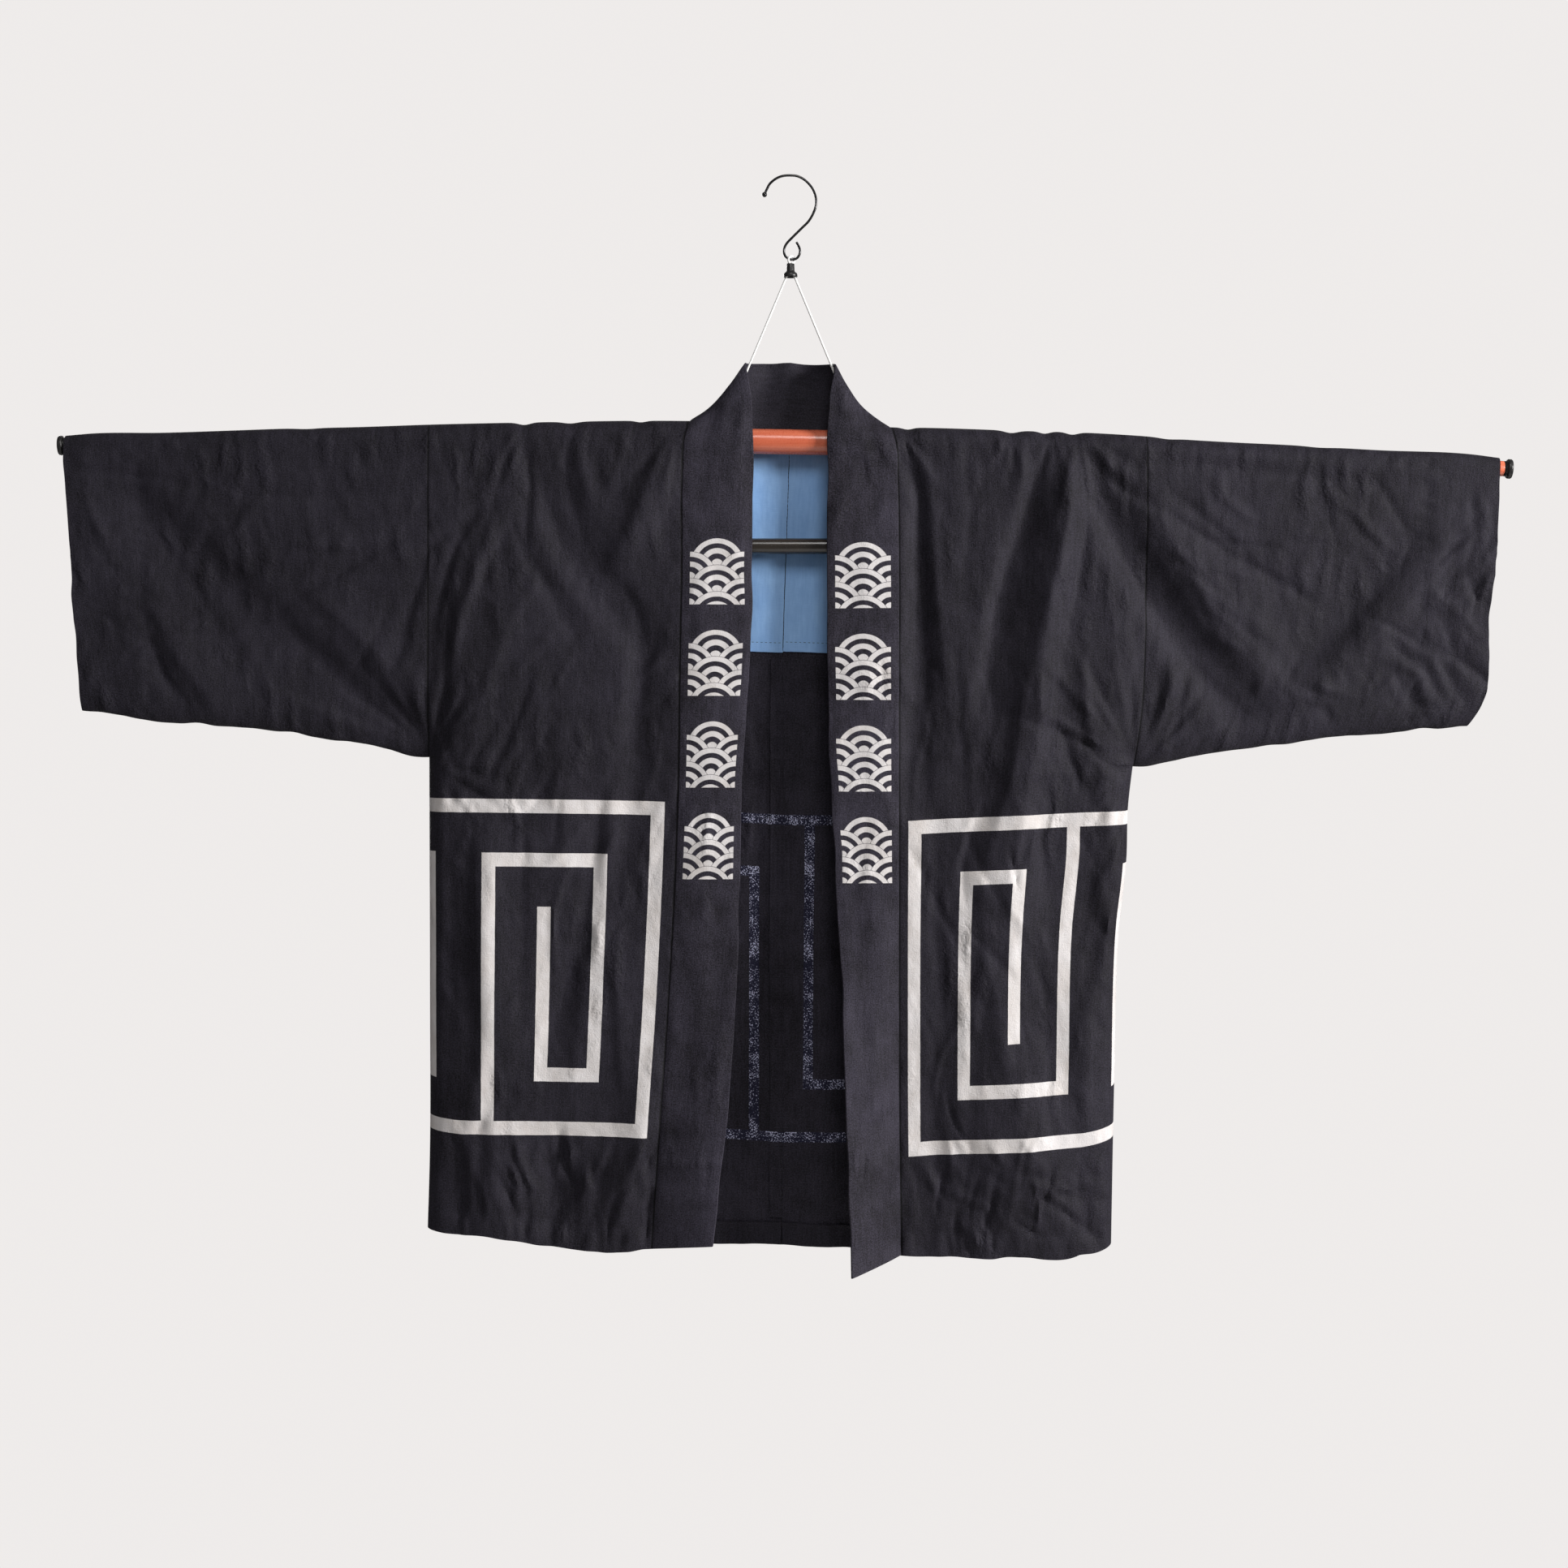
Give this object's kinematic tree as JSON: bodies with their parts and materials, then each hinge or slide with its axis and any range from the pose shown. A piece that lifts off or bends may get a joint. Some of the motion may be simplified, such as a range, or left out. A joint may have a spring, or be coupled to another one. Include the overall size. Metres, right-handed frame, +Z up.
{
  "type": "happi coat on a kimono hanger",
  "caption": "Black cotton happi coat with a banded collar and open front, spread on a red telescopic rod hanger with a lower bar, cord and hook.",
  "frame": {"origin": "inside top of the hook's crook, where the hanger is hung up", "axes": "+Z up, +X to the right seen from the front, the coat's front faces -Y"},
  "size_m": [1.2932, 0.087, 0.9722],
  "materials": {
    "black_cotton": "plain woven cotton, faded black",
    "blue_cotton": "plain woven cotton",
    "red_lacquer": "gloss",
    "black_plastic": "gloss",
    "black_steel": "semi gloss",
    "white_cord": "twisted"
  },
  "bodies": {
    "root": {"body_left": "black_cotton", "body_right": "black_cotton", "sleeve_left": "black_cotton", "sleeve_right": "black_cotton", "collar": "black_cotton", "lining_left": "blue_cotton", "lining_right": "blue_cotton", "rod_centre": "red_lacquer", "rod_left": "red_lacquer", "rod_right": "red_lacquer", "cap_left": "black_plastic", "cap_right": "black_plastic", "sash_bar": "black_plastic", "post_left": "black_plastic", "post_right": "black_plastic", "hook": "black_steel", "bead": "black_plastic", "cord": "white_cord"}
  },
  "joints": []
}
